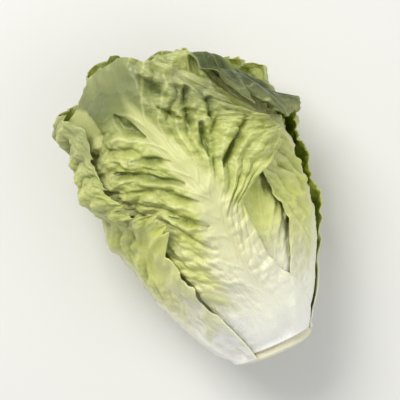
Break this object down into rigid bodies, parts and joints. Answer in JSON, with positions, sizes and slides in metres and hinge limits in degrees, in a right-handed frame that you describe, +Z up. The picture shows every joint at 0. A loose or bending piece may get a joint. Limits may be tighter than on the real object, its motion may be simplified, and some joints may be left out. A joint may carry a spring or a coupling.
{
  "type": "little gem lettuce",
  "caption": "Compact head of little gem lettuce lying on its side, with a short cut stem, broad pale midribs and overlapping crinkled leaves.",
  "frame": {"origin": "centre of the head's footprint box, on the surface that the head lies on", "axes": "+Y along the head from the cut stem to the leaf tips, +Z up from the surface, +X to the right as seen from the stem end"},
  "size_m": [0.0938, 0.1442, 0.0809],
  "materials": {
    "stem": "moist cream cut stem, satin",
    "outer_leaf": "olive to yellow-green leaf blade with a pale fleshy midrib and veins, soft waxy sheen",
    "inner_leaf": "yellow-green leaf blade, soft waxy sheen",
    "heart_leaf": "pale yellow heart leaf, soft waxy sheen"
  },
  "bodies": {
    "root": {"stem": "stem", "heart_core": "heart_leaf", "outer_leaf_1": "outer_leaf", "outer_leaf_2": "outer_leaf", "outer_leaf_3": "outer_leaf", "outer_leaf_4": "outer_leaf", "outer_leaf_5": "outer_leaf", "outer_leaf_6": "outer_leaf", "outer_leaf_7": "outer_leaf", "outer_leaf_8": "outer_leaf", "outer_leaf_9": "outer_leaf", "inner_leaf_1": "inner_leaf", "inner_leaf_2": "inner_leaf", "inner_leaf_3": "inner_leaf", "inner_leaf_4": "inner_leaf", "inner_leaf_5": "inner_leaf", "heart_leaf_1": "heart_leaf", "heart_leaf_2": "heart_leaf", "heart_leaf_3": "heart_leaf", "heart_leaf_4": "heart_leaf"}
  },
  "joints": []
}
